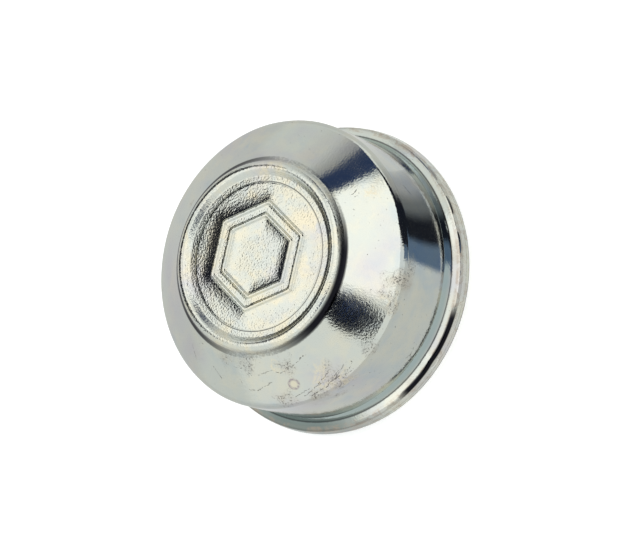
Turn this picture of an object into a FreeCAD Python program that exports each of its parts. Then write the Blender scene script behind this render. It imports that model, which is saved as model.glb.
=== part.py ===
# A pressed hub grease cap: one sheet-steel shell, drawn in one piece.
# It stands on its open rear edge, with +Z out of its front and its origin at the centre of that edge.
# From rear to front its section is a press-in skirt, a hollow rolled flange, a low conical step, a short
# flare, the side wall, a rounded shoulder, a conical front, a raised ring, a shallow moat and the flat disc.
# All sizes are in millimetres.
import FreeCAD, Part
import math
import os
import Sketcher

Vector = FreeCAD.Vector

# Two places closer than this are the same place.
NEAR = 0.001

# Driving dimensions: name, size and what it is.
SIZES = [
    ("sheet", 1.0, "thickness of the steel sheet"),
    ("skirt_radius", 34.0, "outside of the skirt that is pressed into the hub"),
    ("skirt_length", 4.5, "rear edge to the flange's seat"),
    ("lead_length", 1.2, "length of the skirt's lead-in taper"),
    ("lead_inset", 0.4, "how far the lead-in taper closes in"),
    ("wall_proud", 0.8, "foot of the side wall, outside the skirt"),
    ("flare_width", 0.65, "radial width of the flare under the side wall"),
    ("flare_height", 2.25, "height of that flare"),
    ("step_width", 2.2, "radial width of the conical step"),
    ("step_height", 0.95, "height of the conical step"),
    ("flange_lean", 0.5, "how far the flange's rim leans in at its top"),
    ("flange_height", 4.0, "height of the flange's rim"),
    ("wall_height", 18.2, "top of the flare to the corner of the shoulder"),
    ("wall_lean", 0.3, "how far the side wall leans out at the shoulder"),
    ("cone_height", 8.9, "corner of the shoulder to the foot of the ring"),
    ("ring_radius", 23.55, "foot of the raised ring"),
    ("brow_width", 0.85, "radial width of the ring's steep outer side"),
    ("brow_height", 1.4, "height of that side"),
    ("crown_width", 1.4, "radial width of the ring's broad top, from that side to the crest"),
    ("crown_height", 0.8, "height of the broad top"),
    ("ring_inner_slope", 1.7, "radial width of the ring's inner side"),
    ("moat_depth", 1.5, "crest of the ring to the shallow moat inside it"),
    ("moat_width", 1.5, "radial width of the moat"),
    ("disc_step_width", 0.35, "radial width of the small step from the moat up to the disc"),
    ("disc_step_height", 0.2, "height of that step"),
    ("skirt_bend", 0.5, "bend under the flange, on its tight side"),
    ("flange_bend", 0.3, "bends of the flange's rim"),
    ("step_bend", 0.4, "bend between step and flare"),
    ("flare_bend", 1.0, "bend between flare and side wall"),
    ("shoulder_bend", 1.4, "bend of the shoulder"),
    ("ring_foot_bend", 0.5, "bend at the foot of the ring"),
    ("ring_bend", 0.3, "bends of the ring's broad top and its crest"),
    ("moat_bend", 0.5, "bend between ring and moat"),
    ("disc_bend", 0.1, "bends of the small step"),
    ("motif_across", 24.0, "outer hexagon of the embossed motif, across its flats"),
    ("motif_band", 4.0, "width of the hexagon's band, from ridge to ridge"),
    ("ridge_width", 1.3, "width of each of the band's two ridges"),
    ("ridge_height", 0.8, "height of the ridges over the disc"),
    ("channel_height", 0.3, "height of the channel's floor between the ridges"),
    ("motif_corner", 1.0, "corners of the hexagons"),
    ("ridge_round", 0.25, "rounding of the ridges' edges"),
    ("die_width", 0.7, "width of the grooves that the die leaves behind the ridges"),
    ("die_depth", 0.5, "depth of those grooves"),
]

# Corners of the outer section from the rear edge to the disc: name, radius and height.
SKIRT = "sizes.skirt_radius"
WALL = SKIRT + " + sizes.wall_proud"
STEP = WALL + " + sizes.flare_width"
RIM = STEP + " + sizes.step_width"
BROW = "sizes.ring_radius - sizes.brow_width"
CREST = BROW + " - sizes.crown_width"
MOAT = CREST + " - sizes.ring_inner_slope"
MOAT_IN = MOAT + " - sizes.moat_width"
SEAT_Z = "sizes.skirt_length"
RIM_Z = SEAT_Z + " + sizes.flange_height"
STEP_Z = RIM_Z + " + sizes.step_height"
WALL_Z = STEP_Z + " + sizes.flare_height"
SHOULDER_Z = WALL_Z + " + sizes.wall_height"
RING_Z = SHOULDER_Z + " + sizes.cone_height"
BROW_Z = RING_Z + " + sizes.brow_height"
CREST_Z = BROW_Z + " + sizes.crown_height"
MOAT_Z = CREST_Z + " - sizes.moat_depth"
DISC_Z = MOAT_Z + " + sizes.disc_step_height"
MOTIF = "sizes.motif_across"
CORNERS = [
    ("rear_edge", SKIRT + " - sizes.lead_inset", "0"),
    ("lead_in", SKIRT, "sizes.lead_length"),
    ("seat_root", SKIRT, SEAT_Z),
    ("rim_rear", RIM + " + sizes.flange_lean", SEAT_Z),
    ("rim_front", RIM, RIM_Z),
    ("step_root", STEP, STEP_Z),
    ("wall_foot", WALL, WALL_Z),
    ("shoulder", WALL + " + sizes.wall_lean", SHOULDER_Z),
    ("ring_foot", "sizes.ring_radius", RING_Z),
    ("ring_brow", BROW, BROW_Z),
    ("ring_crest", CREST, CREST_Z),
    ("moat_outer", MOAT, MOAT_Z),
    ("moat_inner", MOAT_IN, MOAT_Z),
    ("disc_edge", MOAT_IN + " - sizes.disc_step_width", DISC_Z),
    ("disc_centre", "0", DISC_Z),
]

# Bends of the sheet: corner, radius on the tight side, and whether the tight side is inside the cap.
BENDS = [
    ("seat_root", "skirt_bend", False),
    ("rim_rear", "flange_bend", True),
    ("rim_front", "flange_bend", True),
    ("step_root", "step_bend", False),
    ("wall_foot", "flare_bend", False),
    ("shoulder", "shoulder_bend", True),
    ("ring_foot", "ring_foot_bend", False),
    ("ring_brow", "ring_bend", True),
    ("ring_crest", "ring_bend", True),
    ("moat_outer", "moat_bend", False),
    ("moat_inner", "disc_bend", False),
    ("disc_edge", "disc_bend", True),
]


def make_sheet(doc):
    """Spreadsheet with one aliased cell for each driving dimension."""
    sheet = doc.addObject("Spreadsheet::Sheet", "sizes")
    for row, (name, value, meaning) in enumerate(SIZES, start=1):
        sheet.set(f"A{row}", name)
        sheet.set(f"B{row}", str(value))
        sheet.set(f"C{row}", meaning)
        sheet.setAlias(f"B{row}", name)
    doc.recompute()
    return sheet


def value_of(sheet, expression):
    """Number that an expression of the sizes has now."""
    return float(sheet.evalExpression(expression))


def origin_plane(body, role):
    """One of the body's own origin planes."""
    return next(item for item in body.Origin.OriginFeatures if item.Role == role)


def attach(sketch, body, role):
    """Lay a sketch on one of its body's origin planes."""
    sketch.AttachmentSupport = [(origin_plane(body, role), "")]
    sketch.MapMode = "FlatFace"


def bind(sketch, kind, where, name, expression, sheet):
    """Add a named dimension to a sketch and tie it to the sizes."""
    index = sketch.addConstraint(Sketcher.Constraint(kind, *where, value_of(sheet, expression)))
    sketch.renameConstraint(index, name)
    sketch.setExpression(f"Constraints.{name}", expression)


def section_corners(sheet):
    """Radius and height of each corner of the outer section, by name."""
    return {name: Vector(value_of(sheet, radius), value_of(sheet, height), 0)
            for name, radius, height in CORNERS}


def draw_profile(body, sheet):
    """Outer section of the cap, closed along its axis and its rear plane."""
    sketch = body.newObject("Sketcher::SketchObject", "outer_profile")
    attach(sketch, body, "XZ_Plane")
    points = section_corners(sheet)
    points["rear_centre"] = Vector(0, 0, 0)
    names = list(points)
    for start, end in zip(names, names[1:] + names[:1]):
        sketch.addGeometry(Part.LineSegment(points[start], points[end]), False)
    count = len(names)
    for index in range(count):
        following = (index + 1) % count
        sketch.addConstraint(Sketcher.Constraint("Coincident", index, 2, following, 1))
    for index, (name, radius, height) in enumerate(CORNERS):
        if radius == "0":
            sketch.addConstraint(Sketcher.Constraint("PointOnObject", index, 1, -2))
        else:
            bind(sketch, "DistanceX", (-1, 1, index, 1), name + "_radius", radius, sheet)
        if height == "0":
            sketch.addConstraint(Sketcher.Constraint("PointOnObject", index, 1, -1))
        else:
            bind(sketch, "DistanceY", (-1, 1, index, 1), name + "_height", height, sheet)
    sketch.addConstraint(Sketcher.Constraint("Coincident", count - 1, 1, -1, 1))
    return sketch


def make_shell(body, sheet):
    """Turn the section into a solid and hollow it to the sheet's thickness from its open rear."""
    sketch = draw_profile(body, sheet)
    form = body.newObject("PartDesign::Revolution", "outer_form")
    form.Profile = sketch
    form.ReferenceAxis = (sketch, ["V_Axis"])
    form.Angle = 360
    body.Document.recompute()
    rear = [f"Face{number}" for number, face in enumerate(form.Shape.Faces, start=1)
            if face.BoundBox.ZMax < NEAR]
    shell = body.newObject("PartDesign::Thickness", "pressed_shell")
    shell.Base = (form, rear)
    shell.Join = "Intersection"
    shell.Reversed = True
    shell.setExpression("Value", "sizes.sheet")
    body.Document.recompute()
    return shell


def inner_corner(corners, name, thickness):
    """Where the sheet's inner side has the corner that its outer side has at name."""
    names = list(corners)
    place = names.index(name)
    here = corners[name]
    before = (here - corners[names[place - 1]]).normalize()
    after = (corners[names[place + 1]] - here).normalize()
    inward = Vector(-before.y, before.x, 0) + Vector(-after.y, after.x, 0)
    half_turn = before.getAngle(after) / 2
    return here + inward.normalize() * (thickness / math.cos(half_turn))


def edge_at(shape, corner):
    """Name of the circular edge that runs round the axis through a corner of the section."""
    for number, edge in enumerate(shape.Edges, start=1):
        curve = edge.Curve
        if not isinstance(curve, Part.Circle):
            continue
        if abs(curve.Radius - corner.x) < NEAR and abs(curve.Center.z - corner.y) < NEAR:
            return f"Edge{number}"
    raise RuntimeError(f"no edge round the axis at {corner}")


def round_edges(body, base, name, edges, expression):
    """Fillet some edges of a feature, with a radius tied to the sizes."""
    fillet = body.newObject("PartDesign::Fillet", name)
    fillet.Base = (base, edges)
    fillet.setExpression("Radius", expression)
    body.Document.recompute()
    return fillet


def bend_sheet(body, sheet, shell):
    """Round both sides of every bend about one centre, so that the sheet keeps its thickness."""
    corners = section_corners(sheet)
    thickness = value_of(sheet, "sizes.sheet")
    last = shell
    for name, bend, tight_inside in BENDS:
        tight = f"sizes.{bend}"
        wide = f"sizes.{bend} + sizes.sheet"
        outer, inner = (wide, tight) if tight_inside else (tight, wide)
        edge = edge_at(last.Shape, corners[name])
        last = round_edges(body, last, name + "_outside", [edge], outer)
        edge = edge_at(last.Shape, inner_corner(corners, name, thickness))
        last = round_edges(body, last, name + "_inside", [edge], inner)
    return last


def draw_hexagon(sketch, name, across, sheet):
    """Regular hexagon about the axis, one corner towards +Y, with its size across the flats."""
    first = sketch.GeometryCount
    circumradius = f"({across}) / sqrt(3)"
    radius = value_of(sheet, circumradius)
    tips = [Vector(0, radius, 0)]
    for turn in range(1, 6):
        angle = math.radians(90 + 60 * turn)
        tips.append(Vector(radius * math.cos(angle), radius * math.sin(angle), 0))
    for start, end in zip(tips, tips[1:] + tips[:1]):
        sketch.addGeometry(Part.LineSegment(start, end), False)
    circle = sketch.addGeometry(Part.Circle(Vector(0, 0, 0), Vector(0, 0, 1), radius), True)
    sketch.addConstraint(Sketcher.Constraint("Coincident", circle, 3, -1, 1))
    bind(sketch, "Radius", (circle,), name + "_circumradius", circumradius, sheet)
    sketch.addConstraint(Sketcher.Constraint("PointOnObject", first, 1, -2))
    for side in range(6):
        following = first + (side + 1) % 6
        sketch.addConstraint(Sketcher.Constraint("Coincident", first + side, 2, following, 1))
        sketch.addConstraint(Sketcher.Constraint("PointOnObject", first + side, 1, circle))
    for side in range(1, 6):
        sketch.addConstraint(Sketcher.Constraint("Equal", first, first + side))


def hexagon_band(body, name, feature, level, outer, inner, length, sheet):
    """Pad or pocket between two hexagons, upwards from a level on the axis."""
    sketch = body.newObject("Sketcher::SketchObject", name + "_outline")
    attach(sketch, body, "XY_Plane")
    sketch.setExpression("AttachmentOffset.Base.z", level)
    draw_hexagon(sketch, "outer", outer, sheet)
    draw_hexagon(sketch, "inner", inner, sheet)
    band = body.newObject(feature, name)
    band.Profile = sketch
    band.setExpression("Length", length)
    if feature == "PartDesign::Pocket":
        band.Reversed = True
    body.Document.recompute()
    return band


def upright_edges(shape, level):
    """Names of the straight upright edges that start or end at a height."""
    found = []
    for number, edge in enumerate(shape.Edges, start=1):
        box = edge.BoundBox
        upright = box.XLength < NEAR and box.YLength < NEAR
        if upright and (abs(box.ZMin - level) < NEAR or abs(box.ZMax - level) < NEAR):
            found.append(f"Edge{number}")
    return found


def level_edges(shape, level):
    """Names of the edges that lie flat at a height."""
    return [f"Edge{number}" for number, edge in enumerate(shape.Edges, start=1)
            if edge.BoundBox.ZLength < NEAR and abs(edge.BoundBox.ZMin - level) < NEAR]


def emboss_motif(body, sheet):
    """Hexagon of two rounded ridges with a shallow channel between, and the die's grooves behind."""
    ridges = [
        ("outer_ridge", MOTIF),
        ("inner_ridge", MOTIF + " - 2 * sizes.motif_band + 2 * sizes.ridge_width"),
    ]
    for name, across in ridges:
        hexagon_band(body, name, "PartDesign::Pad", DISC_Z, across,
                     across + " - 2 * sizes.ridge_width", "sizes.ridge_height", sheet)
    channel = hexagon_band(body, "channel", "PartDesign::Pad", DISC_Z, MOTIF + " - 2 * sizes.ridge_width",
                           ridges[1][1], "sizes.channel_height", sheet)
    crest = value_of(sheet, DISC_Z + " + sizes.ridge_height")
    corners = round_edges(body, channel, "motif_corners", upright_edges(channel.Shape, crest),
                          "sizes.motif_corner")
    round_edges(body, corners, "ridge_rounding", level_edges(corners.Shape, crest), "sizes.ridge_round")
    for name, across in ridges:
        groove = across + " - sizes.ridge_width + sizes.die_width"
        hexagon_band(body, name + "_groove", "PartDesign::Pocket", DISC_Z + " - sizes.sheet", groove,
                     groove + " - 2 * sizes.die_width", "sizes.die_depth", sheet)


def check(doc, body):
    """Stop unless every object was made and the body is one valid solid."""
    for item in doc.Objects:
        if "Invalid" in item.State or "Error" in item.State:
            raise RuntimeError(f"{item.Name} was not made: {item.State}")
    shape = body.Shape
    if shape.isNull() or not shape.isValid() or len(shape.Solids) != 1:
        raise RuntimeError(f"{body.Label} is not one valid solid")


def main():
    doc = FreeCAD.newDocument("hub_grease_cap")
    sheet = make_sheet(doc)
    body = doc.addObject("PartDesign::Body", "grease_cap")
    body.Label = "grease_cap"
    shell = make_shell(body, sheet)
    bend_sheet(body, sheet, shell)
    emboss_motif(body, sheet)
    doc.recompute()
    check(doc, body)
    os.makedirs("parts", exist_ok=True)
    body.Shape.exportStep(f"parts/{body.Label}.step")
    box = body.Shape.optimalBoundingBox()
    print(f"{body.Label}: {body.Shape.Volume:.1f} mm3")
    print(f"{box.XLength:.2f} by {box.YLength:.2f} by {box.ZLength:.2f} mm")


main()
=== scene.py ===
import math

import bpy
import numpy as np
from mathutils import Matrix, Vector

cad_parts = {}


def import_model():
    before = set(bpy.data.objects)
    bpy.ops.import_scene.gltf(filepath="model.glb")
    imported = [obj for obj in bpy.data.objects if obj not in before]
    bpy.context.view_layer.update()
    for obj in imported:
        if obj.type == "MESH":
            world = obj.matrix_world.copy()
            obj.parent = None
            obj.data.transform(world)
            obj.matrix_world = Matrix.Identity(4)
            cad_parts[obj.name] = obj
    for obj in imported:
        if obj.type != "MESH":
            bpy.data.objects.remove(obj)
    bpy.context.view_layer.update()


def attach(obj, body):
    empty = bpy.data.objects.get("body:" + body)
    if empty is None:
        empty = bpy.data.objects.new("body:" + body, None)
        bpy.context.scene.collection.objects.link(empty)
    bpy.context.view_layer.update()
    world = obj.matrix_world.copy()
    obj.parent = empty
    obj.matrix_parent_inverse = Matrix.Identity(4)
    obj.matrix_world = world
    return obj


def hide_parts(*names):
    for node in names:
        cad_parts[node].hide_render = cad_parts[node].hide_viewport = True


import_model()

# Lengths here are millimetres and angles are degrees. MM turns a length into the frame's metres.
MM = 0.001

# The sheet in section, with the sizes of the CAD part. Each corner of its outer side, from the rear edge to
# the disc, has a distance from the axis, a height and the radius that rounds it.
SHEET = 1.0
DISC_LEVEL = 39.7
OUTER_CORNERS = [
    (33.6, 0.0, 0.12),  # rear edge
    (34.0, 1.2, 0.6),  # lead-in taper
    (34.0, 4.5, 0.5),  # root of the flange
    (38.15, 4.5, 1.3),  # rim, rear side
    (37.65, 8.5, 1.3),  # rim, front side
    (35.45, 9.45, 0.4),  # step
    (34.8, 11.7, 1.0),  # foot of the side wall
    (35.1, 29.9, 2.4),  # shoulder
    (23.55, 38.8, 0.5),  # foot of the ring
    (22.7, 40.2, 1.3),  # brow of the ring
    (21.3, 41.0, 1.3),  # crest of the ring
    (19.6, 39.5, 0.5),  # moat, outer side
    (18.1, 39.5, 0.1),  # moat, inner side
    (17.75, DISC_LEVEL, 1.1),  # edge of the disc
    (17.2, DISC_LEVEL, 0.0),
]

# Points round each loop of the mesh, and how finely bends and straight runs are divided.
SAMPLES = 360
OUTER_TURN = 9.0
INNER_TURN = 18.0
LONGEST_RUN = 3.5
BEND_MARGIN = 0.14
SMALLEST_BEND = 0.05
SAME_PLACE = 0.01

# Embossed hexagon: distances from the axis to the middle of its sides, and heights over the disc.
MOTIF_OUTSIDE = 12.0
MOTIF_INSIDE = 8.0
RIDGE_WIDTH = 1.3
RIDGE_HEIGHT = 0.8
CHANNEL_HEIGHT = 0.3
FLANK = 0.5
MOTIF_CORNER = 1.0
SWELL_OUTSIDE = 15.4
SWELL_INSIDE = 5.0

# Grooves that the die leaves behind the ridges.
GROOVE_WIDTH = 0.7
GROOVE_DEPTH = 0.5
GROOVE_FLANK = 0.08

# Loops of the mesh over the disc. Between its round edge and the hexagon they turn from one to the other.
ROUND_TO_HEXAGON = (0.25, 0.5, 0.75)
OUTER_SWELL_LOOPS = 9
FLANK_LOOPS = 6
CREST_LOOPS = 2
CHANNEL_LOOPS = 3
INNER_SWELL_LOOPS = 6
FRONT_CENTRE_LOOPS = (3.2, 1.6, 0.5)
BACK_CENTRE_LOOPS = (3.0, 0.5)

# Small faults of the pressing. Depths are all inwards, so that the part keeps within its own size. Each wave
# has a depth, a number of crests round the cap, a climb in radians for each millimetre and a start.
WAVES = [
    (0.035, 5, 0.21, 40.0),
    (0.025, 8, 0.33, 110.0),
    (0.018, 13, 0.12, 250.0),
]
WAVES_START = 24.0
WAVES_FADE = 4.0
CROWN_DEPTH = 0.1
CROWN_MIDDLE = 29.0
CROWN_REACH = 5.0
CONE_START = (23.0, 29.0)
CONE_FADE = 1.5
NICK_AT = (-24.0, 8.6)
NICK_SIZE = (1.6, 0.7)
NICK_DEPTH = 0.28

# Colours of the plating, of what is on it, and of the shade painted on it, linear.
ZINC = (0.63, 0.66, 0.61, 1.0)
CREAM = (0.80, 0.73, 0.54, 1.0)
LAVENDER = (0.56, 0.53, 0.60, 1.0)
STEEL_BLUE = (0.47, 0.56, 0.62, 1.0)
# Teal: painted shade on the flare's concave bend.
TEAL = (0.40, 0.52, 0.52, 1.0)
DEEP_TEAL = (0.17, 0.22, 0.21, 1.0)
DUSKY = (0.36, 0.31, 0.33, 1.0)
BROWN = (0.42, 0.34, 0.27, 1.0)
SOOT = (0.10, 0.09, 0.085, 1.0)
# Near black: painted shade in the creases, at the ring's foot and on the flange's rim.
CREASE_SHADE_COLOUR = (0.012, 0.012, 0.016, 1.0)

# Random patterns on the surface: size, detail, roughness, and the two values between which each fades in.
LAVENDER_PATCHES = (14.0, 2.0, 0.5, 0.45, 0.75)
BLUE_PATCHES = (9.0, 3.0, 0.5, 0.55, 0.78)
WALL_PATCHES = (11.0, 3.0, 0.5, 0.40, 0.66)
WARM_PATCHES = (6.0, 2.0, 0.5, 0.36, 0.80)
STAIN_PATCHES = (1.8, 4.0, 0.7, 0.35, 0.65)
OVAL_GRAIN = (0.6, 2.0, 0.7, 0.35, 0.6)
RIM_STREAKS = (2.6, 3.0, 0.6, 0.42, 0.66)
SPECKLES = (0.45, 3.0, 0.7, 0.53, 0.62)
PITS = (0.55, 1.0, 0.5, 0.765, 0.80)
DULL_PATCHES = (6.0, 4.0, 0.6, 0.35, 0.7)

# Shakes that bend marks out of shape: size, detail and reach.
FINE_SHAKE = (1.6, 3.0, 2.6)
BROAD_SHAKE = (5.5, 2.0, 9.0)
SCRATCH_SHAKE = (0.9, 2.0, 0.9)

# Bands on the surface, by distance from the axis or by height: low end, high end, and half the width of
# each edge.
RING_REACH = (18.6, 23.3, 0.4)
FAR_FOOT_REACH = (23.0, 24.5, 0.3)
NEAR_FOOT_REACH = (22.9, 24.3, 0.35)
MOAT_REACH = (17.95, 18.2, 0.12)
SLOPE_REACH = (19.55, 19.7, 0.12)
STEP_REACH = (35.2, 36.2, 0.2)
WALL_LEVEL = (10.5, 28.5, 1.0)
FLARE_LEVEL = (9.9, 12.2, 0.9)
STEP_LEVEL = (9.35, 9.65, 0.15)
RIM_LEVEL = (5.0, 9.2, 0.3)
RIM_TOP_LEVEL = (8.0, 8.9, 0.15)
SEAM_LEVEL = (6.5, 6.7, 0.12)
RIM_EDGE_LEVEL = (5.1, 5.7, 0.2)

# Borders between parts of the surface: where each part starts to show, and where it shows in full.
FRONT_REACH = (24.0, 22.8)
FRONT_LEVEL = (37.8, 38.6)
FOOT_LEVEL = (37.6, 38.2)
RING_LEVEL = (38.9, 39.3)
MOAT_LEVEL = (39.2, 39.4)
WALL_REACH = (34.3, 34.6)
FLARE_REACH = (34.5, 34.8)
RIM_REACH = (36.2, 36.7)
RIM_TOP_REACH = (36.4, 36.8)
BELOW_STEP = (10.4, 9.8)

# How strong each tint and mark is, from 0 to 1.
PATCH_SHARE = 0.6
WARM_SHARE = 0.85
WARM_OFF_FRONT = 0.42
CREAM_STAIN_SHARE = 0.9
OVAL_SHARE = 0.7
# Strength of the dark teal patch on the flange.
FLANGE_PATCH_SHARE = 0.9
TAN_SHARE = 0.28
# Strength of the teal painted shade on the flare.
FLARE_SHADE_SHARE = 0.7
SPECKLED_TINT = 0.18
SPECKLE_SHARE = 0.8
PIT_SHARE = 0.8
SCRATCH_SHARE = 0.75
# Strengths of the painted shade in the creases and on the flange's rim.
MOAT_SHADE_SHARE = 0.75
SLOPE_SHADE_SHARE = 0.4
STEP_SHADE_SHARE = 0.8
SEAM_SHADE_SHARE = 0.5
RIM_EDGE_SHADE_SHARE = 0.75
RAGGEDNESS = 0.9

# Roughness of the plating, and what its parts and marks add to it.
ROUGHNESS = (0.07, 0.12)
FRONT_ROUGHNESS = 0.06
RING_ROUGHNESS = 0.05
STAIN_ROUGHNESS = 0.12
MARK_ROUGHNESS = 0.3

# Relief of the surface: size and height of its grain, of its orange peel and of its slow swell.
GRAIN = (0.45, 0.062)
PEEL = (2.4, 0.012)
SWELL = (9.0, 0.06)
GRAIN_OFF_FRONT = 0.22
MARK_DEPTH = 0.02

# Round marks on the surface, by angle round the axis, distance from the axis, height and radius.
CREAM_STAINS = [
    (-50.0, 32.3, 32.0, 4.2),
    (-42.0, 34.0, 30.5, 3.2),
    (-8.0, 33.8, 30.9, 3.4),
    (41.0, 31.3, 32.8, 3.0),
    (-70.0, 27.0, 36.2, 2.4),
    (-62.7, 31.1, 33.0, 0.95),
]
TAN_STAINS = [
    (-78.0, 34.9, 20.0, 9.0),
    (-60.0, 35.0, 27.0, 5.0),
    (2.0, 35.0, 29.0, 4.5),
    (64.0, 34.9, 20.0, 6.0),
    (-35.0, 36.8, 8.9, 3.0),
    (20.0, 37.0, 8.8, 4.0),
]
SPECKLED = [
    (-99.6, 25.0, 37.7, 2.6),
    (-86.0, 25.8, 37.1, 3.0),
    (-63.0, 27.0, 36.1, 3.0),
    (-45.0, 33.8, 30.6, 4.0),
    (-7.0, 34.0, 30.8, 2.6),
    (158.9, 27.3, 35.9, 1.2),
    (-72.0, 33.6, 31.1, 3.0),
    (-57.0, 34.4, 30.3, 3.2),
    (-28.0, 34.3, 30.4, 3.4),
    (3.0, 34.5, 30.1, 3.6),
    (8.0, 35.0, 27.5, 2.6),
    (-52.0, 35.0, 25.0, 2.4),
    (-24.0, 34.9, 14.5, 1.6),
]
OVAL_STAIN = (-63.8, 30.9, 33.1, 1.7)
# A dark teal patch on the flange, below the step.
FLANGE_DARK_PATCH = (-88.0, 36.5, 8.8, 24.0)

# Where the painted shade in the creases is thick, as round marks too.
FAR_RING_FOOT = (180.0, 27.0, 38.8, 44.0)
NEAR_RING_FOOT = (-12.0, 25.0, 38.8, 24.0)
RIM_SHADE = (-22.0, 37.6, 8.4, 16.0)

# Scratches, from one place on the surface to another, with their widths.
SCRATCHES = [
    ((-80.1, 27.9, 35.4), (-71.2, 27.0, 36.1), 0.13),
    ((-71.2, 27.0, 36.1), (-67.6, 28.1, 35.3), 0.11),
    ((-67.6, 28.1, 35.3), (-59.7, 27.5, 35.7), 0.12),
    ((-59.7, 27.5, 35.7), (-51.6, 26.7, 36.3), 0.13),
    ((-124.8, 28.4, 35.1), (-120.0, 30.7, 33.3), 0.12),
    ((-91.5, 29.2, 34.4), (-89.6, 31.2, 32.9), 0.11),
    ((-89.6, 31.2, 32.9), (-83.1, 31.2, 32.9), 0.11),
    ((-83.1, 31.2, 32.9), (-73.9, 29.5, 34.2), 0.11),
    ((41.4, 27.4, 35.8), (42.6, 28.6, 34.9), 0.12),
    ((43.3, 27.2, 36.0), (44.5, 28.4, 35.0), 0.12),
    ((-21.6, 34.9, 14.9), (-25.5, 34.9, 14.0), 0.16),
    ((42.6, 35.0, 24.3), (39.4, 35.0, 22.1), 0.15),
    ((-59.4, 34.3, 30.4), (-44.0, 33.8, 30.9), 0.16),
    ((-57.0, 34.8, 29.6), (-38.0, 34.5, 30.2), 0.14),
    ((-66.0, 33.4, 31.2), (-58.0, 32.8, 31.7), 0.12),
    ((-62.0, 33.9, 30.8), (-52.0, 32.9, 31.6), 0.14),
    ((-56.0, 33.2, 31.4), (-47.0, 32.0, 32.3), 0.13),
    ((-52.0, 34.2, 30.5), (-43.0, 32.9, 31.6), 0.15),
    ((-47.0, 33.9, 30.8), (-38.0, 32.6, 31.9), 0.13),
    ((-42.0, 34.3, 30.4), (-35.0, 33.4, 31.2), 0.12),
    ((-76.0, 33.0, 31.6), (-68.0, 32.6, 31.9), 0.11),
    ((-108.0, 29.0, 34.6), (-103.0, 30.6, 33.4), 0.12),
    ((-96.0, 26.6, 36.4), (-88.0, 26.9, 36.2), 0.12),
    ((-88.0, 26.9, 36.2), (-84.0, 28.0, 35.4), 0.12),
]

# Studio: its floor, its even light, and the colours of the cards that the plating mirrors. The high cards are
# centred on a height on the axis, at these distances from it.
FLOOR_REACH = 6000.0
FLOOR_COLOUR = (0.9, 0.9, 0.9, 1.0)
FLOOR_GLOW = 0.5
SURROUNDINGS = (0.93, 0.95, 0.94, 1.0)
BLACK = (0.012, 0.014, 0.022, 1.0)
NIGHT = (0.03, 0.05, 0.12, 1.0)
BLUE = (0.13, 0.19, 0.29, 1.0)
SLATE = (0.17, 0.18, 0.19, 1.0)
MIST = (0.42, 0.42, 0.43, 1.0)
GREY = (0.70, 0.71, 0.70, 1.0)
PALE = (0.77, 0.79, 0.78, 1.0)
WHITE = (1.0, 1.0, 0.98, 1.0)
CARD_CENTRE = 20.0
CARD_COLUMNS = 24
BLADES = 400.0
FRONT_FLAG = 800.0
REAR_FLAG = 850.0
PANELS = 900.0
HAZE = 1000.0

# How far the colours of the card on the floor move on round the cap, in degrees for each millimetre outwards.
NEAR_TWIST = 0.42

# The photograph's view, fitted to the outlines of flange, shoulder and ring.
PHOTO_WIDTH = 630
PHOTO_CENTRE = (315, 270)
FLANGE_PIXEL = (338.7, 281.7)
FLANGE_LEVEL = 3.7
FOCAL_PIXELS = 3680
VIEW_DISTANCE = 900.0
VIEW_TILT = 34.3
AXIS_HEADING = 162.3
CAP_TURN = 6.0
SENSOR = 36.0


def smooth(share):
    """Ease from 0 to 1 with no slope at either end."""
    share = np.clip(share, 0.0, 1.0)
    return share * share * (3.0 - 2.0 * share)


def heading(start, end):
    """Unit vector in the section from one corner to another."""
    way = np.array(end[:2]) - np.array(start[:2])
    return way / np.linalg.norm(way)


def inner_corners(corners):
    """The sheet's inner side: its corners one thickness in, rounded about the centres of the outer bends."""
    first = heading(corners[0], corners[1])
    inset = np.array([-first[1], first[0]]) * SHEET
    foot = np.array(corners[0][:2]) + inset
    foot = foot - first * (foot[1] / first[1])
    inner = [(foot[0], 0.0, corners[0][2])]
    for before, here, after in zip(corners, corners[1:], corners[2:]):
        arriving, leaving = heading(before, here), heading(here, after)
        inward = np.array([-arriving[1] - leaving[1], arriving[0] + leaving[0]])
        inward /= np.linalg.norm(inward)
        half_turn = math.acos(np.clip(arriving @ leaving, -1, 1)) / 2
        place = np.array(here[:2]) + inward * SHEET / math.cos(half_turn)
        convex = arriving[0] * leaving[1] - arriving[1] * leaving[0] > 0
        radius = max(here[2] - SHEET, SMALLEST_BEND) if convex else here[2] + SHEET
        inner.append((place[0], place[1], radius))
    end = corners[-1]
    inner.append((end[0], end[1] - SHEET, 0.0))
    return inner


def straight_run(start, end):
    """Points from start towards end, with one close to each bend and the rest evenly spread."""
    start, end = np.array(start), np.array(end)
    length = np.linalg.norm(end - start)
    if length < 4 * BEND_MARGIN:
        return [start, end]
    pieces = max(1, math.ceil((length - 2 * BEND_MARGIN) / LONGEST_RUN))
    inside = np.linspace(BEND_MARGIN, length - BEND_MARGIN, pieces + 1)
    return [start + (end - start) * (reach / length) for reach in (0.0, *inside, length)]


def bend(corner, arriving, leaving, radius, turn):
    """Both ends of one bend, and the points between them, at most the given turn apart."""
    angle = math.acos(np.clip(arriving @ leaving, -1, 1))
    reach = radius * math.tan(angle / 2)
    start, end = corner - arriving * reach, corner + leaving * reach
    side = math.copysign(1.0, arriving[0] * leaving[1] - arriving[1] * leaving[0])
    normal = side * np.array([-arriving[1], arriving[0]])
    centre = start + normal * radius
    steps = max(2, math.ceil(math.degrees(angle) / turn))
    swings = [angle * step / steps for step in range(1, steps)]
    between = [centre - normal * radius * math.cos(swing) + arriving * radius * math.sin(swing)
               for swing in swings]
    return start, between, end


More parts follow.
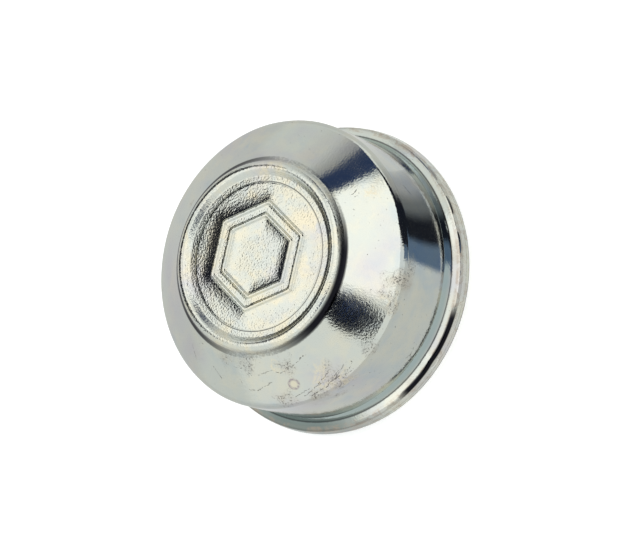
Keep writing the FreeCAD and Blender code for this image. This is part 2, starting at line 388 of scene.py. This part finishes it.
def rounded(corners, turn):
    """Points along an outline with its corners rounded."""
    points = []
    start = np.array(corners[0][:2])
    for before, here, after in zip(corners, corners[1:], corners[2:]):
        arriving, leaving = heading(before, here), heading(here, after)
        bend_start, between, bend_end = bend(np.array(here[:2]), arriving, leaving, here[2], turn)
        points += straight_run(start, bend_start) + between
        start = bend_end
    points += straight_run(start, corners[-1][:2])
    kept = [points[0]]
    kept += [here for before, here in zip(points, points[1:]) if np.linalg.norm(here - before) > SAME_PLACE]
    return kept


def hexagon_reach(angles, apothem, corner):
    """Distance from the axis to a rounded hexagon at each angle, with one of its corners towards +Y."""
    turn = np.abs((np.degrees(angles) + 30.0) % 60.0 - 30.0)
    core = apothem - corner
    centre = core / math.cos(math.radians(30))
    off = np.radians(30.0 - turn)
    on_arc = apothem * np.tan(np.radians(turn)) > core * math.tan(math.radians(30))
    arc = centre * np.cos(off) + np.sqrt(np.maximum(corner ** 2 - (centre * np.sin(off)) ** 2, 0.0))
    return np.where(on_arc, arc, apothem / np.cos(np.radians(turn)))


def loop(angles, reach, level):
    """One closed loop of points round the axis. Reach is one distance or one for each angle."""
    reach = np.broadcast_to(reach, angles.shape)
    return np.stack([reach * np.cos(angles), reach * np.sin(angles), np.full(angles.shape, level)], axis=1)


def ridge_share(apothem, outside):
    """How far up a ridge's flank or crest a distance from the axis is: 0 beside the ridge, 1 on its crest."""
    rising = smooth((outside - apothem) / FLANK)
    falling = smooth((apothem - outside + RIDGE_WIDTH) / FLANK)
    return rising * falling


def relief(apothem):
    """Height of the disc's embossing over the disc, by distance from the axis to the hexagon's side."""
    outside = np.clip((SWELL_OUTSIDE - apothem) / (SWELL_OUTSIDE - MOTIF_OUTSIDE), 0.0, 1.0) ** 2
    inside = np.clip((apothem - SWELL_INSIDE) / (MOTIF_INSIDE - SWELL_INSIDE), 0.0, 1.0) ** 2
    ground = CHANNEL_HEIGHT * min(outside, inside)
    crest = ridge_share(apothem, MOTIF_OUTSIDE) + ridge_share(apothem, MOTIF_INSIDE + RIDGE_WIDTH)
    return ground + (RIDGE_HEIGHT - ground) * crest


def ridge_distances(outside):
    """Distances from the axis at which a ridge needs a loop: both flanks and the crest between."""
    inside = outside - RIDGE_WIDTH
    flank_steps = np.linspace(0.0, FLANK, FLANK_LOOPS)
    crest = np.linspace(outside - FLANK, inside + FLANK, CREST_LOOPS + 2)[1:-1]
    return [*(outside - flank_steps), *crest, *(inside + flank_steps[::-1])]


def motif_distances():
    """Distances from the axis of the loops over the embossed hexagon, from the outside in."""
    inner_ridge = MOTIF_INSIDE + RIDGE_WIDTH
    outer_swell = np.linspace(SWELL_OUTSIDE, MOTIF_OUTSIDE, OUTER_SWELL_LOOPS + 1)[:-1]
    channel = np.linspace(MOTIF_OUTSIDE - RIDGE_WIDTH, inner_ridge, CHANNEL_LOOPS + 2)[1:-1]
    inner_swell = np.linspace(MOTIF_INSIDE, SWELL_INSIDE, INNER_SWELL_LOOPS + 1)[1:]
    return [*outer_swell, *ridge_distances(MOTIF_OUTSIDE), *channel,
            *ridge_distances(inner_ridge), *inner_swell]


def motif_loops(angles):
    """Loops of the disc's front, from its edge to near its centre, over the embossed hexagon."""
    rim = OUTER_CORNERS[-1][0]
    loops = []
    for share in ROUND_TO_HEXAGON:
        circle = rim + (SWELL_OUTSIDE - rim) * share
        hexagon = hexagon_reach(angles, circle, MOTIF_CORNER + circle - MOTIF_OUTSIDE)
        loops.append(loop(angles, circle + (hexagon - circle) * share, DISC_LEVEL))
    for apothem in motif_distances():
        corner = MOTIF_CORNER + max(apothem - MOTIF_OUTSIDE, 0.0)
        loops.append(loop(angles, hexagon_reach(angles, apothem, corner), DISC_LEVEL + relief(apothem)))
    for radius in FRONT_CENTRE_LOOPS:
        loops.append(loop(angles, radius, DISC_LEVEL))
    return loops


def groove_loops(angles):
    """Loops of the disc's back, from its edge to near its centre, over the two grooves."""
    level = DISC_LEVEL - SHEET
    loops = []
    for outside in (MOTIF_OUTSIDE, MOTIF_INSIDE + RIDGE_WIDTH):
        outer = outside - (RIDGE_WIDTH - GROOVE_WIDTH) / 2
        inner = outer - GROOVE_WIDTH
        for apothem, depth in ((outer, 0.0), (outer - GROOVE_FLANK, GROOVE_DEPTH),
                               (inner + GROOVE_FLANK, GROOVE_DEPTH), (inner, 0.0)):
            loops.append(loop(angles, hexagon_reach(angles, apothem, MOTIF_CORNER), level + depth))
    for radius in BACK_CENTRE_LOOPS:
        loops.append(loop(angles, radius, level))
    return loops


def sheet_loops(angles):
    """Every loop of the closed sheet: from the middle of its front, round its rear edge, to its back."""
    outside = rounded(OUTER_CORNERS, OUTER_TURN)[::-1]
    inside = rounded(inner_corners(OUTER_CORNERS), INNER_TURN)
    turned = [loop(angles, radius, level) for radius, level in outside + inside]
    return motif_loops(angles)[::-1] + turned + groove_loops(angles)


def worn_shape(points):
    """Points of the sheet with a slight crown and waves from the press, and the nick in the flange's rim."""
    reach = np.hypot(points[:, 0], points[:, 1])
    angle = np.degrees(np.arctan2(points[:, 1], points[:, 0]))
    level = points[:, 2]
    sink = np.zeros(len(points))
    for depth, count, climb, start in WAVES:
        sink += depth * (0.5 + 0.5 * np.cos(np.radians(count * angle + start) + climb * level))
    sink *= smooth((reach - WAVES_START) / WAVES_FADE)
    on_cone = smooth((reach - CONE_START[0]) / CONE_FADE) * smooth((level - CONE_START[1]) / CONE_FADE)
    sink += CROWN_DEPTH * on_cone * ((reach - CROWN_MIDDLE) / CROWN_REACH) ** 2
    across = np.radians(angle - NICK_AT[0]) * reach / NICK_SIZE[0]
    along = (level - NICK_AT[1]) / NICK_SIZE[1]
    sink += NICK_DEPTH * np.exp(-across ** 2 - along ** 2)
    share = 1.0 - sink / np.maximum(reach, 1.0)
    return np.stack([points[:, 0] * share, points[:, 1] * share, level], axis=1)


def sheet_faces(loop_count):
    """Faces between neighbouring loops, and fans to the two middle points that follow the loops' own."""
    faces = []
    for near in range(0, (loop_count - 1) * SAMPLES, SAMPLES):
        far = near + SAMPLES
        for column in range(SAMPLES):
            following = (column + 1) % SAMPLES
            faces.append((near + column, far + column, far + following, near + following))
    last = (loop_count - 1) * SAMPLES
    front_middle = loop_count * SAMPLES
    back_middle = front_middle + 1
    for column in range(SAMPLES):
        following = (column + 1) % SAMPLES
        faces.append((front_middle, column, following))
        faces.append((back_middle, last + following, last + column))
    return faces


def cap_mesh(name):
    """The closed sheet as one object, with smooth shading."""
    angles = np.linspace(0.0, 2 * math.pi, SAMPLES, endpoint=False)
    loops = sheet_loops(angles)
    middles = np.array([[0.0, 0.0, DISC_LEVEL], [0.0, 0.0, DISC_LEVEL - SHEET]])
    points = worn_shape(np.vstack([*loops, middles])) * MM
    mesh = bpy.data.meshes.new(name)
    mesh.from_pydata(points.tolist(), [], sheet_faces(len(loops)))
    mesh.validate()
    mesh.shade_smooth()
    shape = bpy.data.objects.new(name, mesh)
    bpy.context.scene.collection.objects.link(shape)
    return shape


class Nodes:
    """Short ways to add nodes to one material. A value is a number, a tuple or another node's output."""

    def __init__(self, material):
        material.use_nodes = True
        self.tree = material.node_tree
        self.tree.nodes.clear()

    def add(self, kind, values=None, **settings):
        """New node with its settings, and with its inputs given by name or number."""
        node = self.tree.nodes.new(kind)
        for key, value in settings.items():
            setattr(node, key, value)
        for key, value in (values or {}).items():
            if isinstance(value, bpy.types.NodeSocket):
                self.tree.links.new(value, node.inputs[key])
            else:
                node.inputs[key].default_value = value
        return node

    def finish(self, shader):
        """Give the material its surface."""
        self.add("ShaderNodeOutputMaterial", {"Surface": shader.outputs[0]})

    def math(self, operation, first, second=0.0):
        """Result of one sum."""
        return self.add("ShaderNodeMath", {0: first, 1: second}, operation=operation).outputs[0]

    def times(self, first, *others):
        """Product of several values."""
        for other in others:
            first = self.math("MULTIPLY", first, other)
        return first

    def plus(self, first, *others):
        """Sum of several values."""
        for other in others:
            first = self.math("ADD", first, other)
        return first

    def strongest(self, masks):
        """Highest of several masks."""
        highest = masks[0]
        for mask in masks[1:]:
            highest = self.math("MAXIMUM", highest, mask)
        return highest

    def vector(self, operation, first, second):
        """Result of one sum on vectors, as a vector."""
        return self.add("ShaderNodeVectorMath", {0: first, 1: second}, operation=operation).outputs["Vector"]

    def scaled(self, vector, scale):
        """A vector times a number."""
        values = {0: vector, "Scale": scale}
        return self.add("ShaderNodeVectorMath", values, operation="SCALE").outputs["Vector"]

    def length(self, vector):
        """Length of a vector."""
        return self.add("ShaderNodeVectorMath", {0: vector}, operation="LENGTH").outputs["Value"]

    def dot(self, first, second):
        """Dot product of two vectors."""
        values = {0: first, 1: second}
        return self.add("ShaderNodeVectorMath", values, operation="DOT_PRODUCT").outputs["Value"]

    def between(self, value, low, high, start=0.0, end=1.0):
        """Ease from start to end as a value goes from low to high."""
        values = {"Value": value, "From Min": low, "From Max": high, "To Min": start, "To Max": end}
        return self.add("ShaderNodeMapRange", values, interpolation_type="SMOOTHSTEP").outputs["Result"]

    def band(self, value, low, high, edge):
        """1 between two values and 0 beyond a soft edge on both sides."""
        above = self.between(value, low - edge, low + edge)
        below = self.between(value, high + edge, high - edge)
        return self.times(above, below)

    def noise(self, place, size, detail=2.0, roughness=0.5, output="Fac"):
        """Soft random pattern with features of about one size, from 0 to 1."""
        values = {"Vector": place, "Scale": 1.0 / size, "Detail": detail, "Roughness": roughness}
        return self.add("ShaderNodeTexNoise", values).outputs[output]

    def patches(self, place, pattern, start=0.0, end=1.0):
        """Ease from start to end where a random pattern is strong."""
        size, detail, roughness, low, high = pattern
        return self.between(self.noise(place, size, detail, roughness), low, high, start, end)

    def shaken(self, start, place, size, detail, reach):
        """A start moved by up to half a reach each way, in a random pattern of about one size."""
        pattern = self.noise(place, size, detail, 0.6, output="Color")
        shake = self.vector("SUBTRACT", pattern, (0.5, 0.5, 0.5))
        return self.vector("ADD", start, self.vector("MULTIPLY", shake, (reach, reach, reach)))

    def mix(self, share, first, second):
        """Colour between two colours."""
        node = self.add("ShaderNodeMix", data_type="RGBA")
        factor, start, end = node.inputs["Factor"], node.inputs[6], node.inputs[7]
        for socket, value in ((factor, share), (start, first), (end, second)):
            if isinstance(value, bpy.types.NodeSocket):
                self.tree.links.new(value, socket)
            else:
                socket.default_value = value
        return node.outputs[2]


class Surface:
    """Where a point of an object is, in millimetres: its place, distance from the axis and height."""

    def __init__(self, nodes):
        self.place = nodes.scaled(nodes.add("ShaderNodeTexCoord").outputs["Object"], 1 / MM)
        self.x, self.y, self.level = nodes.add("ShaderNodeSeparateXYZ", {0: self.place}).outputs
        self.reach = nodes.length(nodes.vector("MULTIPLY", self.place, (1.0, 1.0, 0.0)))


def surface_point(angle, reach, level):
    """Place on the cap from an angle round the axis, a distance from it and a height."""
    turn = math.radians(angle)
    return (reach * math.cos(turn), reach * math.sin(turn), level)


def spot(nodes, place, mark):
    """1 within a round mark and 0 outside it, with a soft edge."""
    *where, radius = mark
    away = nodes.length(nodes.vector("SUBTRACT", place, surface_point(*where)))
    return nodes.between(away, radius * 1.2, radius * 0.2)


def spots(nodes, place, marks):
    """Several round marks as one mask."""
    return nodes.strongest([spot(nodes, place, mark) for mark in marks])


def scratch(nodes, place, start, end, width):
    """1 on a thin scratch between two places on the surface and 0 beside it."""
    start, end = Vector(surface_point(*start)), Vector(surface_point(*end))
    along = end - start
    offset = nodes.vector("SUBTRACT", place, tuple(start))
    share = nodes.dot(offset, tuple(along / along.length_squared))
    share = nodes.add("ShaderNodeClamp", {"Value": share}).outputs[0]
    nearest = nodes.scaled(tuple(along), share)
    away = nodes.length(nodes.vector("SUBTRACT", offset, nearest))
    return nodes.between(away, width, width * 0.4)


def painted_ring_foot_shade(nodes, surface):
    """Painted shade at the ring's foot, thick on two opposite sides."""
    far_side = nodes.between(spot(nodes, surface.place, FAR_RING_FOOT), 0.0, 0.8)
    near_side = nodes.between(spot(nodes, surface.place, NEAR_RING_FOOT), 0.0, 0.9, 0.38, 1.0)
    far_foot = nodes.times(nodes.band(surface.reach, *FAR_FOOT_REACH), far_side)
    near_foot = nodes.times(nodes.band(surface.reach, *NEAR_FOOT_REACH), near_side)
    return nodes.times(nodes.strongest([far_foot, near_foot]), nodes.between(surface.level, *FOOT_LEVEL))


def painted_rim_shade(nodes, surface):
    """Painted shade on the top of the flange's rim, and two thin lines of painted shade below it."""
    shade = nodes.between(spot(nodes, surface.place, RIM_SHADE), 0.1, 0.6)
    top = nodes.times(nodes.band(surface.level, *RIM_TOP_LEVEL), shade)
    seam = nodes.times(nodes.band(surface.level, *SEAM_LEVEL), SEAM_SHADE_SHARE)
    edge = nodes.times(nodes.band(surface.level, *RIM_EDGE_LEVEL), RIM_EDGE_SHADE_SHARE)
    return nodes.times(nodes.strongest([top, seam, edge]), nodes.between(surface.reach, *RIM_TOP_REACH))


def painted_crease_shade(nodes, surface):
    """Dark painted shade in the creases, ragged where it is thin."""
    reach, level = surface.reach, surface.level
    inside_ring = nodes.between(level, *MOAT_LEVEL)
    moat = nodes.times(nodes.band(reach, *MOAT_REACH), inside_ring, MOAT_SHADE_SHARE)
    slope = nodes.times(nodes.band(reach, *SLOPE_REACH), inside_ring, SLOPE_SHADE_SHARE)
    step = nodes.times(nodes.band(level, *STEP_LEVEL), nodes.band(reach, *STEP_REACH), STEP_SHADE_SHARE)
    creases = [painted_ring_foot_shade(nodes, surface), moat, slope, step, painted_rim_shade(nodes, surface)]
    thickness = nodes.strongest(creases)
    ragged = nodes.times(nodes.noise(surface.place, 0.5, 3.0, 0.7), RAGGEDNESS)
    return nodes.times(thickness, nodes.between(nodes.plus(thickness, ragged), 0.62, 1.0))


def plating_tint(nodes, surface, warm, stains):
    """Colour of the clean plating: zinc with patches of lavender, blue and cream."""
    place = surface.place
    colour = nodes.mix(nodes.patches(place, LAVENDER_PATCHES, 0.0, PATCH_SHARE), ZINC, LAVENDER)
    colour = nodes.mix(nodes.patches(place, BLUE_PATCHES, 0.0, PATCH_SHARE), colour, STEEL_BLUE)
    on_wall = nodes.times(nodes.band(surface.level, *WALL_LEVEL), nodes.between(surface.reach, *WALL_REACH))
    cool = nodes.patches(place, WALL_PATCHES, 0.0, PATCH_SHARE)
    colour = nodes.mix(nodes.times(on_wall, cool), colour, STEEL_BLUE)
    return nodes.mix(nodes.strongest([warm, nodes.times(stains, CREAM_STAIN_SHARE)]), colour, CREAM)


def oval_stained(nodes, surface, colour):
    """The colour with the oval stain: cream inside a dusky ring."""
    oval = spot(nodes, surface.place, OVAL_STAIN)
    colour = nodes.mix(nodes.times(oval, OVAL_SHARE), colour, CREAM)
    ring = nodes.times(nodes.between(oval, 0.05, 0.4), nodes.between(oval, 0.95, 0.5))
    grain = nodes.patches(surface.place, OVAL_GRAIN, 0.25, 0.9)
    return nodes.mix(nodes.times(ring, grain), colour, DUSKY)


def stained_and_shaded(nodes, surface, warped, colour):
    """The colour with a dark teal patch on part of the flange, tan patches and streaks on the rim, and teal
    painted shade on the flare.
    """
    below_step = nodes.between(surface.level, *BELOW_STEP, 0.0, FLANGE_PATCH_SHARE)
    colour = nodes.mix(nodes.times(spot(nodes, warped, FLANGE_DARK_PATCH), below_step), colour, DEEP_TEAL)
    colour = nodes.mix(nodes.times(spots(nodes, warped, TAN_STAINS), TAN_SHARE), colour, BROWN)
    on_rim = nodes.times(nodes.band(surface.level, *RIM_LEVEL), nodes.between(surface.reach, *RIM_REACH))
    streaks = nodes.patches(warped, RIM_STREAKS, 0.1, 0.6)
    colour = nodes.mix(nodes.times(on_rim, streaks), colour, BROWN)
    # Teal painted shade on the flare's concave bend, all round.
    on_flare = nodes.times(nodes.band(surface.level, *FLARE_LEVEL),
                           nodes.between(surface.reach, *FLARE_REACH))
    return nodes.mix(nodes.times(on_flare, FLARE_SHADE_SHARE), colour, TEAL)


def surface_marks(nodes, place, speckled):
    """Speckles, pits and scratches as one mask."""
    speckles = nodes.times(nodes.patches(place, SPECKLES), speckled, SPECKLE_SHARE)
    pits = nodes.times(nodes.patches(place, PITS), PIT_SHARE)
    shaken = nodes.shaken(place, place, *SCRATCH_SHAKE)
    lines = nodes.strongest([scratch(nodes, shaken, *mark) for mark in SCRATCHES])
    return nodes.strongest([speckles, pits, nodes.times(lines, SCRATCH_SHARE)])


def plating_roughness(nodes, surface, on_front, dull, marks):
    """Roughness of the plating, higher on the front, on the ring, in stains and on marks."""
    on_ring = nodes.times(nodes.band(surface.reach, *RING_REACH), nodes.between(surface.level, *RING_LEVEL))
    base = nodes.patches(surface.place, DULL_PATCHES, *ROUGHNESS)
    return nodes.plus(base, nodes.times(on_front, FRONT_ROUGHNESS), nodes.times(on_ring, RING_ROUGHNESS),
                      nodes.times(dull, STAIN_ROUGHNESS), nodes.times(marks, MARK_ROUGHNESS))


def plating_relief(nodes, place, on_front, marks):
    """Fine relief of the plating: a grain that is deepest on the front, orange peel and a slow swell."""
    grain_depth = nodes.between(on_front, 0.0, 1.0, GRAIN_OFF_FRONT, 1.0)
    grain = nodes.times(nodes.noise(place, GRAIN[0], 1.0, 0.5), grain_depth, GRAIN[1])
    peel = nodes.times(nodes.noise(place, PEEL[0], 2.0, 0.5), PEEL[1])
    swell = nodes.times(nodes.noise(place, SWELL[0], 1.0, 0.4), SWELL[1])
    height = nodes.math("SUBTRACT", nodes.plus(grain, peel, swell), nodes.times(marks, MARK_DEPTH))
    return nodes.add("ShaderNodeBump", {"Height": height, "Strength": 1.0, "Distance": MM}).outputs["Normal"]


def plated_steel():
    """Zinc plating: a satin metal with fine grain, a dark teal patch, stains, scuffs and scratches, and
    painted shade in its creases and on its flare.
    """
    material = bpy.data.materials.new("zinc_plated_steel_finish")
    nodes = Nodes(material)
    surface = Surface(nodes)
    place = surface.place
    warped = nodes.shaken(place, place, *FINE_SHAKE)
    warped = nodes.shaken(warped, place, *BROAD_SHAKE)

    on_front = nodes.times(nodes.between(surface.reach, *FRONT_REACH),
                           nodes.between(surface.level, *FRONT_LEVEL))
    warm = nodes.times(nodes.patches(warped, WARM_PATCHES, 0.0, WARM_SHARE),
                       nodes.between(on_front, 0.0, 1.0, WARM_OFF_FRONT, 1.0))
    stains = nodes.times(spots(nodes, warped, CREAM_STAINS), nodes.patches(warped, STAIN_PATCHES))
    speckled = spots(nodes, warped, SPECKLED)
    marks = surface_marks(nodes, place, speckled)

    colour = plating_tint(nodes, surface, warm, stains)
    colour = oval_stained(nodes, surface, colour)
    colour = stained_and_shaded(nodes, surface, warped, colour)
    colour = nodes.mix(nodes.times(speckled, SPECKLED_TINT), colour, BROWN)
    colour = nodes.mix(marks, colour, SOOT)
    # Near black painted shade in the creases, at the ring's foot and on the flange's rim.
    colour = nodes.mix(painted_crease_shade(nodes, surface), colour, CREASE_SHADE_COLOUR)

    rough = plating_roughness(nodes, surface, on_front, nodes.strongest([speckled, stains]), marks)
    normal = plating_relief(nodes, place, on_front, marks)
    values = {"Base Color": colour, "Roughness": rough, "Metallic": 1.0, "Normal": normal}
    nodes.finish(nodes.add("ShaderNodeBsdfPrincipled", values))
    return material


def glowing(name, colour, strength):
    """Glowing material of one colour."""
    material = bpy.data.materials.new(name)
    nodes = Nodes(material)
    nodes.finish(nodes.add("ShaderNodeEmission", {"Color": colour, "Strength": strength}))
    return material


def glowing_by_azimuth(name, colours, twist):
    """Glowing material whose colour turns with the azimuth. Twist moves it on, in degrees a millimetre."""
    material = bpy.data.materials.new(name)
    nodes = Nodes(material)
    surface = Surface(nodes)
    azimuth = nodes.times(nodes.math("ARCTAN2", surface.y, surface.x), math.degrees(1.0))
    azimuth = nodes.math("SUBTRACT", azimuth, nodes.times(surface.reach, twist))
    shade = colours[0][1]
    for (low, _), (high, colour) in zip(colours, colours[1:]):
        shade = nodes.mix(nodes.between(azimuth, low, high), shade, colour)
    nodes.finish(nodes.add("ShaderNodeEmission", {"Color": shade, "Strength": 1.0}))
    return material


def white_floor():
    """Pale floor with the cap's shadow on it. What looks at it straight or in a mirror sees it white."""
    material = bpy.data.materials.new("white_floor")
    nodes = Nodes(material)
    path = nodes.add("ShaderNodeLightPath").outputs
    seen = nodes.strongest([path["Is Camera Ray"], path["Is Glossy Ray"], path["Is Transmission Ray"]])
    light = nodes.add("ShaderNodeEmission", {"Color": (1.0, 1.0, 1.0, 1.0), "Strength": FLOOR_GLOW})
    dark = nodes.add("ShaderNodeEmission", {"Strength": 0.0})
    glow = nodes.add("ShaderNodeMixShader", {0: seen, 1: dark.outputs[0], 2: light.outputs[0]})
    matt = nodes.add("ShaderNodeBsdfDiffuse", {"Color": FLOOR_COLOUR})
    nodes.finish(nodes.add("ShaderNodeAddShader", {0: matt.outputs[0], 1: glow.outputs[0]}))
    return material


def stage_mesh(name, points, faces, material):
    """Object of the studio, which isn't part of the cap."""
    mesh = bpy.data.meshes.new(name)
    mesh.from_pydata([tuple(value * MM for value in point) for point in points], [], faces)
    mesh.materials.append(material)
    thing = bpy.data.objects.new(name, mesh)
    bpy.context.scene.collection.objects.link(thing)
    return thing


def grid_faces(columns, rows):
    """Faces of a grid of points."""
    width = columns + 1
    return [(corner, corner + 1, corner + width + 1, corner + width)
            for row in range(rows) for corner in range(row * width, row * width + columns)]


def shaped_card(name, rows, material):
    """Card that shows in reflections alone, with a distance, a height and two azimuths for each row."""
    points = []
    for reach, height, first, last in rows:
        for azimuth in np.linspace(first, last, CARD_COLUMNS + 1):
            points.append(surface_point(azimuth, reach, height))
    thing = stage_mesh(name, points, grid_faces(CARD_COLUMNS, len(rows) - 1), material)
    thing.visible_camera = False
    thing.visible_diffuse = False
    thing.visible_shadow = False


def card(name, rows, colour, strength=1.0):
    """Card of one colour."""
    shaped_card(name, rows, glowing(name, colour, strength))


def graded_card(name, rows, colours, twist=0.0):
    """Card with a colour that turns with the azimuth, and with the azimuths given for its first row."""
    start = rows[0][0] * twist
    moved = [(azimuth - start, colour) for azimuth, colour in colours]
    shaped_card(name, rows, glowing_by_azimuth(name, moved, twist))


def sky_rows(distance, rows):
    """Rows of a card at one distance from the cap, given as elevations with two azimuths each."""
    turned = [(math.radians(elevation), first, last) for elevation, first, last in rows]
    return [(distance * math.cos(elevation), CARD_CENTRE + distance * math.sin(elevation), first, last)
            for elevation, first, last in turned]


def low_cards():
    """Cards on the floor and just above it, which the side wall and the flange mirror."""
    card("grey_sweep", [(37.4, 8.66, 0, 360), (46.9, 0.2, 0, 360), (2500, 0.2, 0, 360)], GREY)
    sweep_rows = [(37.5, 8.8, 0, 62), (47.0, 0.4, 0, 68), (62, 0.4, 0, 74)]
    sweep_colours = [(0, GREY), (9, GREY), (13, BLUE), (20, BLUE), (25, BLACK), (32, BLACK), (42, SLATE),
                     (54, MIST), (70, GREY)]
    graded_card("near_sweep", sweep_rows, sweep_colours, NEAR_TWIST)
    flag_rows = [(62, 0.4, 14, 72), (66, 0.5, 14, 72), (66, 36.5, 14, 72)]
    flag_colours = [(14, GREY), (16, BLUE), (20, BLUE), (23, BLACK), (44, BLACK), (54, MIST), (72, GREY)]
    graded_card("near_flag", flag_rows, flag_colours)


def dark_cards():
    """The black and dark blue cards, which the shoulder and the cone mirror."""
    flag_rows = [(9, 27, 63), (14, 27, 68), (20, 28, 80), (25, 30, 92), (28, 33, 62), (32, 36, 52),
                 (36, 40, 46)]
    card("black_flag", sky_rows(FRONT_FLAG, flag_rows), BLACK)
    side_rows = [(10, 96, 124), (18, 88, 122), (23, 80, 120), (30, 79, 117), (38, 77, 112)]
    side_colours = [(77, NIGHT), (92, NIGHT), (97, MIST), (107, GREY), (120, PALE)]
    graded_card("side_blade", sky_rows(BLADES, side_rows), side_colours)
    card("black_blade", sky_rows(BLADES, [(42, -42, -22), (45, -47, -15), (47, -48, -13)]), BLACK)
    card("blue_blade", sky_rows(BLADES, [(47, -48, -13), (53, -49, -11), (59, -50, -12)]), NIGHT)


def bright_cards():
    """The pale and white cards."""
    card("under_rim", [(38.0, 0.1, 0, 360), (46.5, 0.1, 0, 360)], PALE, 1.1)
    card("white_panel", sky_rows(PANELS, [(30, 55, 79), (40, -8, 78), (65, -8, 75)]), WHITE, 1.38)
    card("high_panel", sky_rows(PANELS, [(50, -110, -50), (60, -110, -8), (65, -110, -8)]), WHITE, 1.4)
    card("top_panel", sky_rows(PANELS, [(65, -90, 80), (80, -90, 80)]), WHITE, 1.2)
    card("rear_panel", sky_rows(PANELS, [(50, 110, 240), (75, 110, 240)]), WHITE, 1.3)
    card("pale_haze", sky_rows(HAZE, [(-1, 100, 260), (14, 105, 255)]), PALE)


def rear_cards():
    """The black cards beyond the cap, which the ring's inner side and the disc mirror."""
    card("rear_flag", sky_rows(REAR_FLAG, [(8, 150, 200), (20, 142, 205), (47, 145, 205)]), BLACK)
    card("disc_flag", [(54, 92, 120, 215), (96, 112, 130, 205)], BLACK)


def studio():
    """Pale floor and surroundings, with the dark and bright cards that the plating mirrors."""
    side = FLOOR_REACH
    corners = [(-side, -side, 0), (side, -side, 0), (side, side, 0), (-side, side, 0)]
    stage_mesh("studio_floor", corners, [(0, 1, 2, 3)], white_floor())
    low_cards()
    dark_cards()
    bright_cards()
    rear_cards()


def world():
    """Even pale light from all round."""
    surroundings = bpy.data.worlds.new("pale_studio")
    surroundings.use_nodes = True
    background = surroundings.node_tree.nodes["Background"]
    background.inputs["Color"].default_value = SURROUNDINGS
    background.inputs["Strength"].default_value = 1.0
    bpy.context.scene.world = surroundings


def camera_turn():
    """Turn from the camera's axes to the cap's, whose own axis tilts towards its heading in the picture."""
    tilt, turn, heading_angle = (math.radians(angle) for angle in (VIEW_TILT, CAP_TURN, AXIS_HEADING))
    across = (math.cos(heading_angle), math.sin(heading_angle))
    cap_z = Vector((math.sin(tilt) * across[0], math.sin(tilt) * across[1], math.cos(tilt)))
    near = Vector((math.cos(tilt) * across[0], math.cos(tilt) * across[1], -math.sin(tilt)))
    beside = -cap_z.cross(near)
    cap_x = -math.cos(turn) * near + math.sin(turn) * beside
    cap_y = math.sin(turn) * near + math.cos(turn) * beside
    return Matrix((cap_x, cap_y, cap_z))


def photo_camera():
    """Camera at the photograph's viewing angle, with the flange's middle where the photograph has it."""
    to_world = camera_turn()
    shift_x = (FLANGE_PIXEL[0] - PHOTO_CENTRE[0]) * VIEW_DISTANCE / FOCAL_PIXELS
    shift_y = -(FLANGE_PIXEL[1] - PHOTO_CENTRE[1]) * VIEW_DISTANCE / FOCAL_PIXELS
    place = Vector((0, 0, FLANGE_LEVEL)) + to_world @ Vector((-shift_x, -shift_y, VIEW_DISTANCE))
    data = bpy.data.cameras.new("photo_camera")
    data.sensor_width = SENSOR
    data.lens = FOCAL_PIXELS * SENSOR / PHOTO_WIDTH
    data.clip_start = 0.01
    data.clip_end = 100.0
    camera = bpy.data.objects.new("photo_camera", data)
    camera.matrix_world = Matrix.Translation(place * MM) @ to_world.to_4x4()
    bpy.context.scene.collection.objects.link(camera)
    bpy.context.scene.camera = camera


cap = cap_mesh("grease_cap_sheet")
cap.data.materials.append(plated_steel())
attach(cap, "root")
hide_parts("grease_cap")

studio()
world()
photo_camera()
bpy.context.scene.view_settings.view_transform = "Standard"
